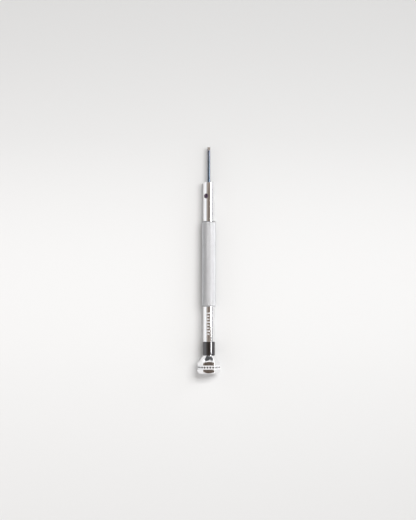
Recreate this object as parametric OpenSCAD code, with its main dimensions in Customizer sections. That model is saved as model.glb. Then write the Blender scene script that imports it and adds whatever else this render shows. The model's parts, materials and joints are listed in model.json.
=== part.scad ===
// Watchmaker's screwdriver: a slim turned handle with a knurled grip, a blade held by a
// grub screw, a coloured size ring and a hexagonal head that turns on a small ball bearing.
// Each piece is drawn along the tool's axis, from the finger end at 0 to the blade's tip,
// and then laid down along +X on one flat of the head. Sizes are in millimetres.

/* [Blade] */
// Diameter of the round blade, which is also the width of its tip
blade_d = 1.0; // [0.8:0.05:1.2]
// Length of blade that stands out of the nose
blade_reach = 12.4; // [6:0.2:20]
// Length of blade that the body holds
blade_hold = 8.4; // [6.5:0.2:12]
// Length of the two ground flats that make the tip
tip_length = 1.2; // [0.8:0.1:4]
// Thickness of the tip's edge
tip_thickness = 0.2; // [0.1:0.02:0.4]

/* [Body] */
// Diameter of the polished stretches in front of and behind the grip
shank_d = 4.0; // [3.3:0.1:4.8]
// Length of the polished stretch in front of the grip
nose_length = 13.8; // [13:0.2:20]
// Diameter over the crests of the knurled grip
grip_d = 4.8; // [4.8:0.1:6.4]
// Length of the knurled grip
grip_length = 30.2; // [20:0.2:40]
// Length of the polished stretch behind the grip
rear_length = 12.4; // [8:0.2:20]
// Diameter of the tail that carries the size ring
tail_d = 3.0; // [2.8:0.05:3.2]

/* [Blade screw] */
// Diameter of the grub screw that holds the blade
grub_d = 1.6; // [1.2:0.1:2]
// Distance of the grub screw behind the nose
grub_back = 4.9; // [2.5:0.1:6]
// Turn of the grub screw about the axis, away from straight up
grub_turn = 33; // [-180:1:180]
// Depth of the grub screw below the surface of the nose
grub_depth = 0.3; // [0.1:0.05:0.5]
// Width of the slot in the grub screw
grub_slot = 0.25; // [0.15:0.05:0.4]

/* [Size ring] */
// Outer diameter of the size ring
ring_d = 4.35; // [4.3:0.05:5.2]
// Length of the size ring
ring_length = 4.8; // [2:0.1:8]

/* [Head] */
// Width of the hexagon across its flats
head_flats = 7.0; // [6:0.1:10]
// Length of the hexagon
hex_length = 4.4; // [4.4:0.1:7]
// Length of the flare between the size ring and the hexagon
flare_length = 1.9; // [1.6:0.1:3]
// Radius of the bulging curve of the flare
flare_r = 7.5; // [6:0.5:12]
// Width of the band around the middle of the hexagon
band_width = 1.45; // [0.8:0.05:2]
// Depth of the band below the flats
band_depth = 0.06; // [0.04:0.01:0.12]
// Depth of the hollow in the finger cap
dish_depth = 0.3; // [0.15:0.05:0.4]
// Thickness of the finger cap at its rim
cap_t = 0.9; // [0.8:0.05:1]

/* [Ball bearing] */
// Bore of the bearing
bearing_bore = 2.0; // [1.9:0.05:2.1]
// Outer diameter of the bearing
bearing_d = 5.0; // [4.8:0.1:6]
// Width of the bearing
bearing_w = 2.3; // [1.8:0.1:2.4]
// Diameter of the balls
ball_d = 0.8; // [0.66:0.02:0.96]
// Thickness of the two shields
shield_t = 0.1; // [0.08:0.01:0.14]

/* [Axle screw] */
// Diameter of the thread that holds the head to the body
axle_thread_d = 1.6; // [1.4:0.1:1.8]
// Length of that thread inside the body
axle_thread_length = 4.0; // [2:0.1:4.6]
// Diameter of the axle screw's head
axle_head_d = 2.8; // [2.5:0.1:3]
// Height of the axle screw's head
axle_head_h = 0.6; // [0.4:0.05:0.8]

/* [Hidden] */
$fn = 48;
overcut = 0.5;          // how far a cutter runs past the face that it cuts

// Clearances
blade_fit = 0.02;       // between the blade and its bore, all round
blade_bore_spare = 0.4; // how far the bore runs past the blade's inner end
grub_fit = 0.02;        // between the grub screw and its hole, all round
grub_tip_gap = 0.02;    // between the grub screw's tip and the blade
thread_spare = 0.6;     // how far the axle screw's hole runs past its end
running_gap = 0.1;      // between the size ring and the turning head
axle_head_gap = 0.15;   // between the axle screw's head and the finger cap
axle_shoulder_gap = 0.35; // between the axle screw's shoulder and the body's tail
flange_gap = 0.1;       // between the spacer's flange and the recess around it
sleeve_gap = 0.2;       // between the spacer's sleeve and the hole that it runs through
face_relief = 0.1;      // keeps the head's shoulder off the bearing's front shield
ball_play = 0.01;       // between a ball and its races
cage_play = 0.03;       // between a ball and its pocket
cage_gap = 0.08;        // between the cage and each ring
shield_gap = 0.06;      // between a shield and the inner ring

// Edges
nose_edge = 0.2;
grip_edge = 0.35;
rear_edge = 0.1;
ring_edge = 0.12;
tail_edge = 0.15;
blade_edge = 0.1;       // on the blade's inner end
axle_edge = 0.1;        // on the axle screw's head
thread_edge = 0.2;      // on the axle screw's end
grub_edge = 0.08;
grub_cone = 0.27;       // height and width of the cone at the grub screw's tip
hole_edge = 0.16;       // countersink around the grub screw's hole
end_edge = 0.15;        // how far inside the flats the end faces of the hexagon stop
hex_chamfer = 45;       // degrees between the hexagon's chamfers and its end faces
cap_edge = 0.08;

// Finger cap
cap_skirt_t = 0.39;

// Ball bearing
ball_count = 7;
shield_seat_w = 0.1;    // width of the step that a shield rests on
cage_mouth = 0.24;      // from the balls' centres to the open edge of the cage
cage_back = 0.24;       // from the balls to the closed edge of the cage

// Slot in the axle screw
axle_slot_w = 0.4;
axle_slot_depth = 0.3;

// Slot in the grub screw
grub_slot_depth = 0.4;
grub_slot_turn = 40;

// Spacer
spacer_wall = 0.38;
flange_t = 0.3;
flange_lap = 0.25;      // how far the flange reaches over the size ring
mouth_lip = 0.35;       // wall of the flare around the flange, at least

// Stations along the axis, from the finger end
head_length = hex_length + flare_length;
tail_z = head_length + running_gap;
shoulder_z = tail_z + ring_length;
grip_z = shoulder_z + rear_length;
grip_end_z = grip_z + grip_length;
nose_z = grip_end_z + nose_length;
tip_z = nose_z + blade_reach;
bearing_z = cap_t + axle_head_gap + axle_head_h;
bearing_end_z = bearing_z + bearing_w;
ball_z = bearing_z + bearing_w / 2;
grub_z = nose_z - grub_back;

// Sizes that follow from the ones above
head_corner_r = head_flats / 2 / cos(30);
end_face_r = head_flats / 2 - end_edge;
ball_pitch_r = (bearing_bore + bearing_d) / 4;
race_r = ball_d / 2 + ball_play;
inner_land_r = ball_pitch_r - ball_d * 0.31;
outer_land_r = ball_pitch_r + ball_d * 0.37;
shield_seat_r = outer_land_r + shield_seat_w;
shield_seat_depth = 2 * shield_t;
relief_r = outer_land_r + 0.02;
axle_shoulder_z = tail_z - axle_shoulder_gap;
spacer_r = bearing_bore / 2 + spacer_wall;
flange_r = tail_d / 2 + flange_lap;
blade_bore_r = blade_d / 2 + blade_fit;
blade_bore_end_z = nose_z - blade_hold - blade_bore_spare;

// Where the flare's curve starts, ends and has its centre, as [radius, station]
flare_start = [end_face_r, hex_length];
flare_end = [max(ring_d / 2, flange_r + flange_gap + mouth_lip), head_length];
flare_chord = flare_end - flare_start;
flare_rise = sqrt(pow(flare_r, 2) - pow(norm(flare_chord) / 2, 2));
flare_centre = (flare_start + flare_end) / 2
    - flare_rise * [flare_chord[1], -flare_chord[0]] / norm(flare_chord);

// Takes a piece from the tool's own axis to where it lies: the axis along +X, the middle of
// the tool's length at 0, and the head's lowest flat on the ground
module lay_down() {
    translate([-tip_z / 2, 0, head_flats / 2])
        rotate([0, 90, 0])
            children();
}

// A bar from one station to the next, turned to radius r with a chamfer at each end
module turned(r, from, to, low_edge = 0, high_edge = 0) {
    rotate_extrude()
        polygon([
            [0, from], [r - low_edge, from], [r, from + low_edge],
            [r, to - high_edge], [r - high_edge, to], [0, to]
        ]);
}

// A ring between two radii and two stations
module ring(inner_r, outer_r, from, to) {
    rotate_extrude()
        translate([inner_r, from])
            square([outer_r - inner_r, to - from]);
}

// A plain round bar or cutter from one station to another
module rod(r, from, to) {
    translate([0, 0, from])
        cylinder(r = r, h = to - from);
}

// Places a child that is drawn up +Z from the tool's axis onto the grub screw's own axis
module along_grub_screw() {
    translate([0, 0, grub_z])
        rotate([0, 0, -grub_turn])
            rotate([0, -90, 0])
                children();
}

module handle_body() {
    color("silver") lay_down() difference() {
        union() {
            turned(tail_d / 2, tail_z, shoulder_z + rear_edge, tail_edge);
            turned(shank_d / 2, shoulder_z, grip_z + grip_edge, rear_edge);
            turned(grip_d / 2, grip_z, grip_end_z, grip_edge, grip_edge);
            turned(shank_d / 2, grip_end_z - grip_edge, nose_z, 0, nose_edge);
        }
        rod(blade_bore_r, blade_bore_end_z, nose_z + overcut);
        rod(axle_thread_d / 2, tail_z - overcut, tail_z + axle_thread_length + thread_spare);
        along_grub_screw() {
            rod(grub_d / 2, 0, shank_d);
            translate([0, 0, shank_d / 2 - 1.5 * hole_edge])
                cylinder(r1 = grub_d / 2, r2 = grub_d / 2 + 2 * hole_edge, h = 2 * hole_edge);
        }
    }
}

module blade() {
    wedge = [
        [-blade_d, 0], [-blade_d, nose_z], [-blade_d / 2, tip_z - tip_length],
        [-tip_thickness / 2, tip_z], [tip_thickness / 2, tip_z],
        [blade_d / 2, tip_z - tip_length], [blade_d, nose_z], [blade_d, 0]
    ];
    color("steelblue") lay_down() intersection() {
        turned(blade_d / 2, nose_z - blade_hold, tip_z, blade_edge);
        rotate([90, 0, 0])
            linear_extrude(blade_d * 2, center = true)
                polygon(wedge);
    }
}

module blade_screw() {
    tip = blade_d / 2 + grub_tip_gap;
    top = shank_d / 2 - grub_depth;
    r = grub_d / 2 - grub_fit;
    color("dimgray") lay_down() along_grub_screw() difference() {
        turned(r, tip, top, grub_cone, grub_edge);
        translate([0, 0, top])
            rotate([0, 0, grub_slot_turn])
                cube([2 * grub_d, grub_slot, 2 * grub_slot_depth], center = true);
    }
}

module size_ring() {
    color("#202022") lay_down() difference() {
        turned(ring_d / 2, tail_z, shoulder_z, ring_edge, ring_edge);
        rod(tail_d / 2, tail_z - overcut, shoulder_z + overcut);
    }
}

module spacer() {
    color("silver") lay_down() difference() {
        union() {
            rod(spacer_r, bearing_end_z, tail_z);
            rod(flange_r, tail_z - flange_t, tail_z);
        }
        rod(bearing_bore / 2, bearing_end_z - overcut, tail_z + overcut);
    }
}

module axle_screw() {
    color("darkgray") lay_down() difference() {
        union() {
            turned(axle_head_d / 2, bearing_z - axle_head_h, bearing_z, axle_edge);
            rod(bearing_bore / 2, bearing_z, axle_shoulder_z);
            turned(axle_thread_d / 2, axle_shoulder_z, tail_z + axle_thread_length,
                   0, thread_edge);
        }
        translate([0, 0, bearing_z - axle_head_h])
            cube([2 * axle_head_d, axle_slot_w, 2 * axle_slot_depth], center = true);
    }
}

// The hollow that the balls roll in, as a flat outline of the races
module race() {
    translate([ball_pitch_r, ball_z])
        circle(r = race_r);
}

module bearing_inner_ring() {
    color("lightsteelblue") lay_down() rotate_extrude() difference() {
        translate([bearing_bore / 2, bearing_z])
            square([inner_land_r - bearing_bore / 2, bearing_w]);
        race();
    }
}

module bearing_outer_ring() {
    color("lightsteelblue") lay_down() rotate_extrude() difference() {
        translate([outer_land_r, bearing_z])
            square([bearing_d / 2 - outer_land_r, bearing_w]);
        race();
        translate([0, bearing_z - overcut])
            square([shield_seat_r, overcut + shield_seat_depth]);
        translate([0, bearing_end_z - shield_seat_depth])
            square([shield_seat_r, overcut + shield_seat_depth]);
    }
}

// Place of one ball on the pitch circle
module at_ball(number) {
    rotate([0, 0, (number - 1) * 360 / ball_count])
        translate([ball_pitch_r, 0, ball_z])
            children();
}

// A crown cage: a ring with pockets that are open towards the finger end
module ball_cage() {
    color("peru") lay_down() difference() {
        ring(inner_land_r + cage_gap, outer_land_r - cage_gap,
             ball_z - cage_mouth, ball_z + ball_d / 2 + cage_back);
        for (number = [1 : ball_count])
            at_ball(number)
                sphere(r = ball_d / 2 + cage_play);
    }
}

module ball(number) {
    color("white") lay_down() at_ball(number) sphere(d = ball_d);
}

module shield(from) {
    color("gray") lay_down()
        ring(inner_land_r + shield_gap, shield_seat_r, from, from + shield_t);
}

module front_shield() {
    shield(bearing_end_z - shield_seat_depth);
}

module rear_shield() {
    shield(bearing_z + shield_seat_depth - shield_t);
}

// The hexagon with both of its ends turned to a chamfer
module hexagon() {
    rise = (head_corner_r - end_face_r) * tan(hex_chamfer);
    intersection() {
        rotate([0, 0, 30])
            cylinder(r = head_corner_r, h = hex_length, $fn = 6);
        rotate_extrude()
            polygon([
                [0, 0], [end_face_r, 0], [head_corner_r, rise],
                [head_corner_r, hex_length - rise], [end_face_r, hex_length], [0, hex_length]
            ]);
    }
}

// The shallow band around the middle of the hexagon
module band() {
    translate([0, 0, (hex_length - band_width) / 2])
        difference() {
            cylinder(r = head_corner_r + overcut, h = band_width);
            translate([0, 0, -overcut])
                rotate([0, 0, 30])
                    cylinder(r = head_corner_r - band_depth / cos(30),
                             h = band_width + 2 * overcut, $fn = 6);
        }
}

module flare() {
    rotate_extrude() intersection() {
        translate([0, hex_length / 2])
            square([end_face_r, head_length - hex_length / 2]);
        translate(flare_centre)
            circle(r = flare_r, $fn = 96);
    }
}

module swivel_head() {
    color("gainsboro") lay_down() difference() {
        union() {
            hexagon();
            flare();
        }
        band();
        rod(bearing_d / 2, -overcut, bearing_end_z);
        rod(relief_r, bearing_end_z - overcut, bearing_end_z + face_relief);
        rod(spacer_r + sleeve_gap, bearing_end_z, head_length + overcut);
        rod(flange_r + flange_gap, tail_z - flange_t - flange_gap, head_length + overcut);
    }
}

// Pressed in behind the bearing: its skirt pushes on the outer ring, and its outer face is
// hollow for the fingertip
module finger_cap() {
    skirt_r = bearing_d / 2 - cap_skirt_t;
    sphere_r = (pow(skirt_r, 2) + pow(dish_depth, 2)) / (2 * dish_depth);
    color("gainsboro") lay_down() difference() {
        turned(bearing_d / 2, 0, bearing_z, cap_edge);
        rod(skirt_r, cap_t, bearing_z + overcut);
        rotate_extrude() intersection() {
            translate([0, dish_depth - sphere_r])
                circle(r = sphere_r, $fn = 96);
            translate([0, -overcut])
                square([bearing_d, overcut + dish_depth]);
        }
    }
}

handle_body();
blade();
blade_screw();
size_ring();
spacer();
axle_screw();
bearing_inner_ring();
bearing_outer_ring();
ball_cage();
ball(1);  // ball_1
ball(2);  // ball_2
ball(3);  // ball_3
ball(4);  // ball_4
ball(5);  // ball_5
ball(6);  // ball_6
ball(7);  // ball_7
front_shield();
rear_shield();
swivel_head();
finger_cap();
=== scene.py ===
import json
import math

import bmesh
import bpy
from bpy.props import FloatProperty, FloatVectorProperty, IntProperty, PointerProperty
from mathutils import Matrix, Vector


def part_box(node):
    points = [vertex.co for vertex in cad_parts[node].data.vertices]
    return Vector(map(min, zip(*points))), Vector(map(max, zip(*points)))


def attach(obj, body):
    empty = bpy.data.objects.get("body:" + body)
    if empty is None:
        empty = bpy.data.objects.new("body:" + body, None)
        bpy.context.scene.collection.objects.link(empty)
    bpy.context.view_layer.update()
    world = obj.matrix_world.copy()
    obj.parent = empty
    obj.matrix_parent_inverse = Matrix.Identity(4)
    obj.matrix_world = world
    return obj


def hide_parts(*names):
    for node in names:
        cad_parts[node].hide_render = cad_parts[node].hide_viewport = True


bl_info = {
    "name": "Watchmaker's screwdriver",
    "version": (1, 0, 0),
    "blender": (4, 5, 0),
    "location": "3D View > Sidebar > Screwdriver",
    "description": "Builds a watchmaker's screwdriver with a swivel head on its measured frame",
    "category": "Mesh",
}

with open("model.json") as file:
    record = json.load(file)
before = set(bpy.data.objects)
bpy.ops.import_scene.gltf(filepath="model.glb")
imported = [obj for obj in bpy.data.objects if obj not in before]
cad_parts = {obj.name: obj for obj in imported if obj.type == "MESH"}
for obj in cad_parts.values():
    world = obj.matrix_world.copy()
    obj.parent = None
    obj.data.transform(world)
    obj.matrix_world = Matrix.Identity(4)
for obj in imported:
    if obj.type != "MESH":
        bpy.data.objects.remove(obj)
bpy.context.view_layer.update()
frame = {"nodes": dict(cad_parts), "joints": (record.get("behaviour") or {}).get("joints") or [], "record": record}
MM = 0.001
FULL_TURN = 2 * math.pi
HALF_CORNER = math.radians(30)  # between the middle of a hexagon's flat and its corner
DRILL_POINT = 0.6  # how deep a drill's point is for its radius
MOUNTS = {mount["name"]: mount for mount in frame["record"]["mounts"]}
JOINTS = {joint["name"]: joint for joint in frame["joints"]}


def span(node):
    """Where a turned CAD node starts and ends along the tool, and its largest radius."""
    low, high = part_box(node)
    return low.x, high.x, (high.z - low.z) / 2


TAIL_X, NOSE_X, GRIP_RADIUS = span("handle_body")
BLADE_START_X, TIP_X, BLADE_RADIUS = span("blade")
RING_START_X, RING_END_X, RING_RADIUS = span("size_ring")
HEAD_START_X, HEAD_END_X, HEAD_FLAT_RADIUS = span("swivel_head")
BEARING_START_X, BEARING_END_X, BEARING_RADIUS = span("bearing_outer_ring")
INNER_RING_RADIUS = span("bearing_inner_ring")[2]
BALL_RADIUS = span("ball_1")[2]
AXIS_Z = HEAD_FLAT_RADIUS
BALL_X = JOINTS["ball_1_spin"]["pos_m"][0]
BALL_CIRCLE = AXIS_Z - JOINTS["ball_1_spin"]["pos_m"][2]
GRUB_DIRECTION = Vector(JOINTS["blade_screw_turn"]["axis"])
GRUB_X = JOINTS["blade_screw_turn"]["pos_m"][0]
SHANK_RADIUS = MOUNTS["nose"]["dims"]["r_mm"] * MM


def length(name, description, default):
    """A property for a size in metres."""
    return FloatProperty(name=name, description=description, default=default, min=0.0,
                         precision=6, unit="LENGTH")


def angle(name, description, degrees):
    """A property for an angle, which is stated in degrees."""
    return FloatProperty(name=name, description=description, default=math.radians(degrees),
                         subtype="ANGLE")


def power(name, description, default):
    """A property for the strength of a light."""
    return FloatProperty(name=name, description=description, default=default, min=0.0)


def colour(name, description, default):
    """A property for a colour."""
    return FloatVectorProperty(name=name, description=description, default=default, size=3,
                               min=0.0, max=1.0, subtype="COLOR")


class HandleSizes(bpy.types.PropertyGroup):
    """Sizes of the turned handle."""

    nose_length: length("Nose length", "Polished stretch in front of the grip", 13.8 * MM)
    rear_length: length("Rear length", "Polished stretch behind the grip", 12.4 * MM)
    tail_radius: length("Tail radius", "Radius of the tail under the size ring", 1.5 * MM)
    nose_edge: length("Nose edge", "Rounding of the nose", 0.2 * MM)
    shoulder_edge: length("Shoulder edge", "Rounding of the shoulder at the ring", 0.08 * MM)
    bore_play: length("Bore play", "Gap between the blade and its bore", 0.02 * MM)
    bore_depth: length("Bore depth", "Depth of the blade's bore", 8.8 * MM)
    axle_hole_radius: length("Axle hole radius", "Radius of the hole in the tail", 0.8 * MM)
    axle_hole_depth: length("Axle hole depth", "Depth of the hole in the tail", 4.6 * MM)


class KnurlSizes(bpy.types.PropertyGroup):
    """Sizes of the diamond knurl on the grip."""

    starts: IntProperty(name="Starts", description="Grooves of each hand around the grip",
                        default=32, min=12, max=60)
    rows: IntProperty(name="Rows", description="Half diamonds along the grip", default=72,
                      min=20, max=160)
    depth: length("Depth", "Depth of the grooves", 0.06 * MM)
    edge: length("Edge", "Chamfer at both ends of the grip", 0.35 * MM)


class MarkSizes(bpy.types.PropertyGroup):
    """Sizes of the plain marks that are engraved in the polished steel."""

    count: IntProperty(name="Count", description="Graduation lines", default=8, min=1)
    step: length("Step", "Distance between two graduation lines", 1.05 * MM)
    start: length("Start", "Distance of the first line from the grip", 2.3 * MM)
    width: length("Width", "Width of a graduation line", 0.42 * MM)
    short: length("Short line", "Length of a graduation line", 0.85 * MM)
    tall: length("Long line", "Length of every third graduation line", 1.25 * MM)
    depth: length("Depth", "Depth of the engraving", 0.04 * MM)
    aside: length("Aside", "How far the lines sit away from the top", 0.2 * MM)


class BladeSizes(bpy.types.PropertyGroup):
    """Sizes of the blade and of the grub screw that holds it."""

    tip_length: length("Tip length", "Length of the two ground flats", 1.2 * MM)
    tip_thickness: length("Tip thickness", "Thickness of the tip's edge", 0.2 * MM)
    hollow: length("Hollow", "How far the ground flats are hollow", 0.025 * MM)
    end_edge: length("End edge", "Chamfer at the blade's inner end", 0.1 * MM)
    grub_radius: length("Grub radius", "Radius of the grub screw", 0.78 * MM)
    grub_play: length("Grub play", "Gap around the grub screw and at its tip", 0.02 * MM)
    grub_depth: length("Grub depth", "Depth of the grub screw below the surface", 0.3 * MM)
    grub_slot: length("Grub slot", "Width of the slot", 0.25 * MM)
    grub_slot_depth: length("Grub slot depth", "Depth of the slot", 0.4 * MM)
    grub_cone: length("Grub cone", "Size of the cone at the grub screw's tip", 0.27 * MM)
    sink: length("Countersink", "Size of the countersink around the hole", 0.16 * MM)
    grub_slot_turn: angle("Slot turn", "Turn of the slot", 40)


class HeadSizes(bpy.types.PropertyGroup):
    """Sizes of the hexagonal swivel head, its cap and what is between it and the tail."""

    hex_length: length("Hexagon length", "Length of the hexagon", 4.4 * MM)
    flare_curve: length("Flare curve", "Radius of the flare's bulging curve", 7.5 * MM)
    mouth_radius: length("Mouth radius", "Radius of the flare at the size ring", 2.2 * MM)
    end_edge: length("End edge", "How far inside the flats the end faces stop", 0.15 * MM)
    chamfer: angle("Chamfer", "Slope of the hexagon's chamfers", 45)
    corner_edge: length("Corner edge", "Rounding of the six corners", 0.12 * MM)
    band_width: length("Band width", "Width of the etched band", 1.45 * MM)
    band_depth: length("Band depth", "Depth of the etched band", 0.06 * MM)
    dimples: IntProperty(name="Dimples", description="Dimples on each flat", default=4, min=1)
    dimple_radius: length("Dimple radius", "Radius of a dimple", 0.33 * MM)
    dimple_step: length("Dimple step", "Distance between two dimples", 1.0 * MM)
    recess_radius: length("Recess radius", "Radius of the recess for the flange", 1.85 * MM)
    recess_depth: length("Recess depth", "Depth of the recess for the flange", 0.3 * MM)
    throat_radius: length("Throat radius", "Radius of the hole for the sleeve", 1.58 * MM)
    relief: length("Relief", "Gap between the shoulder and the bearing's shield", 0.1 * MM)
    skirt: length("Skirt", "Wall of the finger cap's skirt", 0.39 * MM)
    cap_thickness: length("Cap thickness", "Thickness of the finger cap at its rim", 0.9 * MM)
    dish: length("Dish", "Depth of the hollow in the finger cap", 0.3 * MM)
    sleeve_radius: length("Sleeve radius", "Radius of the spacer's sleeve", 1.38 * MM)
    flange: length("Flange", "Thickness of the spacer's flange", 0.3 * MM)
    axle_head: length("Axle head", "Height of the axle screw's head", 0.6 * MM)
    axle_slot: length("Axle slot", "Width of the slot in the axle screw's head", 0.4 * MM)
    axle_slot_depth: length("Axle slot depth", "Depth of that slot", 0.3 * MM)
    axle_radius: length("Axle radius", "Radius of the axle in the bearing", 1.0 * MM)
    axle_neck: length("Axle neck", "Length of the thread ahead of the tail", 0.35 * MM)
    thread_pitch: length("Thread pitch", "Pitch of the axle screw's thread", 0.35 * MM)


class BearingSizes(bpy.types.PropertyGroup):
    """Sizes inside the ball bearing."""

    race_play: length("Race play", "Gap between a ball and its races", 0.01 * MM)
    pocket_play: length("Pocket play", "Gap between a ball and its pocket", 0.03 * MM)
    cage_gap: length("Cage gap", "Gap between the cage and each ring", 0.08 * MM)
    land_radius: length("Land radius", "Inner radius of the outer ring", 2.046 * MM)
    seat: length("Shield seat", "Width of the step that a shield rests on", 0.1 * MM)
    shield: length("Shield", "Thickness of a shield", 0.1 * MM)
    shield_play: length("Shield play", "Gap from a shield to the inner ring", 0.06 * MM)


class Finishes(bpy.types.PropertyGroup):
    """Colours of the finishes."""

    chrome: colour("Polished steel", "Handle and head", (0.92, 0.92, 0.93))
    knurl: colour("Knurled steel", "Crests of the knurl", (0.64, 0.645, 0.66))
    blued: colour("Blued steel", "Blade", (0.105, 0.128, 0.155))
    ground: colour("Ground steel", "Tip of the blade", (0.48, 0.45, 0.42))
    grub: colour("Grub screw", "Dark steel of the small screw", (0.13, 0.09, 0.13))
    ring: colour("Size ring", "Black of the size ring", (0.12, 0.118, 0.122))
    fill: colour("Dimple fill", "Dark fill of the dimples", (0.05, 0.042, 0.038))
    etched: colour("Etched steel", "Matt band and matt marks", (0.90, 0.91, 0.94))
    bearing: colour("Bearing steel", "Bearing, spacer and axle screw", (0.66, 0.66, 0.67))
    nylon: colour("Nylon", "Ball cage", (0.78, 0.72, 0.56))
    floor: colour("Floor", "Pale bench", (0.729, 0.737, 0.738))


class Studio(bpy.types.PropertyGroup):
    """The camera, the light and the bench."""

    camera_height: length("Camera height", "Distance of the camera above the tool", 0.70)
    frame_length: length("Frame length", "Length that the picture's long side shows", 0.1838)
    look_x: FloatProperty(name="Look at X", description="Middle of the picture along the tool",
                          default=0.1 * MM, unit="LENGTH", precision=6)
    look_y: FloatProperty(name="Look at Y", description="Middle of the picture across the tool",
                          default=0.3 * MM, unit="LENGTH", precision=6)
    light_distance: length("Light distance", "Distance of both soft lights", 0.62)
    panel_tilt: angle("Panel tilt", "Angle off vertical of the light that the metal mirrors", 47)
    panel_turn: angle("Panel turn", "Its turn towards the blade's tip", 8)
    panel_width: length("Panel width", "Its width", 0.22)
    panel_length: length("Panel length", "Its length", 0.34)
    panel_power: power("Panel power", "Its power in watts", 2.9)
    sky_tilt: angle("Sky tilt", "Angle off vertical of the light that falls on the bench", 23)
    sky_turn: angle("Sky turn", "Its turn towards the blade's tip", 18)
    sky_width: length("Sky width", "Its width", 0.38)
    sky_length: length("Sky length", "Its length", 0.20)
    sky_power: power("Sky power", "Its power in watts", 3.0)
    room_power: power("Room power", "Strength of the light from the room", 1.36)


# Small helpers for meshes


def fillet(corners, steps=5):
    """An outline with its corners rounded: each corner is (station, radius, rounding)."""
    points = []
    count = len(corners)
    for index, (x, r, rounding) in enumerate(corners):
        corner = Vector((x, r))
        before = Vector(corners[index - 1][:2]) - corner
        after = Vector(corners[(index + 1) % count][:2]) - corner
        if rounding <= 0 or before.length == 0 or after.length == 0:
            points.append((x, r))
            continue
        half_angle = before.angle(after) / 2
        reach = min(rounding / math.tan(half_angle), before.length * 0.49, after.length * 0.49)
        radius = reach * math.tan(half_angle)
        middle = (before.normalized() + after.normalized()).normalized()
        centre = corner + middle * (radius / math.sin(half_angle))
        start = corner + before.normalized() * reach - centre
        end = corner + after.normalized() * reach - centre
        sweep = start.angle_signed(end)
        for step in range(steps + 1):
            point = start.copy()
            point.rotate(Matrix.Rotation(-sweep * step / steps, 2))
            points.append(tuple(centre + point))
    return points


def curve(centre, radius, start, end, steps=12):
    """Points on an arc of an outline, with the angles in degrees from the tool's direction."""
    angles = [math.radians(start + (end - start) * step / steps) for step in range(steps + 1)]
    return [(centre[0] + radius * math.cos(a), centre[1] + radius * math.sin(a), 0.0)
            for a in angles]


def new_object(name, mesh):
    piece = bpy.data.objects.new(name, mesh)
    bpy.context.scene.collection.objects.link(piece)
    return piece


def close_mesh(name, bm, materials=()):
    """Turns a bmesh into an object with merged doubles and faces that point outwards."""
    bmesh.ops.remove_doubles(bm, verts=bm.verts, dist=1e-8)
    bmesh.ops.recalc_face_normals(bm, faces=bm.faces)
    mesh = bpy.data.meshes.new(name)
    bm.to_mesh(mesh)
    bm.free()
    for material in materials:
        mesh.materials.append(material)
    return new_object(name, mesh)


def tool_axis():
    """The place of the tool's axis."""
    return Matrix.Translation((0, 0, AXIS_Z))


def grub_axis():
    """The place of the grub screw's axis, which starts on the tool's axis."""
    turn = Vector((1, 0, 0)).rotation_difference(GRUB_DIRECTION).to_matrix().to_4x4()
    return Matrix.Translation((GRUB_X, 0, AXIS_Z)) @ turn


def lathe(name, corners, materials=(), place=None, segments=192):
    """Turns a closed outline, or one that starts and ends on the axis, into a solid."""
    place = place or tool_axis()
    bm = bmesh.new()
    rings = []
    for x, r in fillet(corners):
        turns = range(segments) if r > 1e-9 else range(1)
        rings.append([
            bm.verts.new(place @ Vector((x, r * math.sin(FULL_TURN * t / segments),
                                         r * math.cos(FULL_TURN * t / segments))))
            for t in turns])
    for one, other in zip(rings, rings[1:] + rings[:1]):
        for t in range(segments):
            face = [one[t % len(one)], one[(t + 1) % len(one)],
                    other[(t + 1) % len(other)], other[t % len(other)]]
            face = list(dict.fromkeys(face))
            if len(face) > 2:
                bm.faces.new(face)
    return close_mesh(name, bm, materials)


def prism(name, outline, start, end, materials=()):
    """A straight bar along the tool, from an outline of (across, up) points."""
    bm = bmesh.new()
    ends = [[bm.verts.new((x, y, AXIS_Z + z)) for y, z in outline] for x in (start, end)]
    for index in range(len(outline)):
        after = (index + 1) % len(outline)
        bm.faces.new((ends[0][index], ends[0][after], ends[1][after], ends[1][index]))
    for side in ends:
        bm.faces.new(side)
    return close_mesh(name, bm, materials)


def hexagon(flat_radius, rounding, steps=6):
    """A hexagon with one flat straight down and rounded corners."""
    centre_radius = (flat_radius - rounding) / math.cos(HALF_CORNER)
    outline = []
    for corner in range(6):
        direction = HALF_CORNER * (1 + 2 * corner)
        for step in range(steps + 1):
            turn = direction + HALF_CORNER * (2 * step / steps - 1)
            outline.append((centre_radius * math.sin(direction) + rounding * math.sin(turn),
                            centre_radius * math.cos(direction) + rounding * math.cos(turn)))
    return outline


def block(name, size, place, materials=()):
    """A plain block, which only serves to cut slots."""
    bm = bmesh.new()
    bmesh.ops.create_cube(bm, size=1.0, matrix=place @ Matrix.Diagonal((*size, 1.0)))
    return close_mesh(name, bm, materials)


def bake(piece):
    """Turns what a piece's modifiers make into its plain mesh."""
    bpy.context.view_layer.update()
    graph = bpy.context.evaluated_depsgraph_get()
    mesh = bpy.data.meshes.new_from_object(piece.evaluated_get(graph))
    piece.modifiers.clear()
    piece.data = mesh
    mesh.name = piece.name
    return piece


def cut(piece, cutter, operation="DIFFERENCE"):
    """Cuts a piece with another one, which leaves its own finish on the cut and is used up."""
    modifier = piece.modifiers.new("cut", "BOOLEAN")
    modifier.operation = operation
    modifier.solver = "EXACT"
    modifier.material_mode = "TRANSFER"
    modifier.object = cutter
    bake(piece)
    bpy.data.objects.remove(cutter)
    return piece


def smooth(piece, edge_angle=24):
    """Shades a piece smoothly, apart from edges that turn by more degrees than this."""
    piece.data.shade_smooth()
    piece.data.set_sharp_from_angle(angle=math.radians(edge_angle))
    return piece


def finish_piece(piece, body, slot, *nodes):
    """Fixes a piece to its body and lets it stand for its CAD nodes."""
    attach(piece, body)
    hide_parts(*nodes)
    return piece


# Small helpers for node trees


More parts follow.
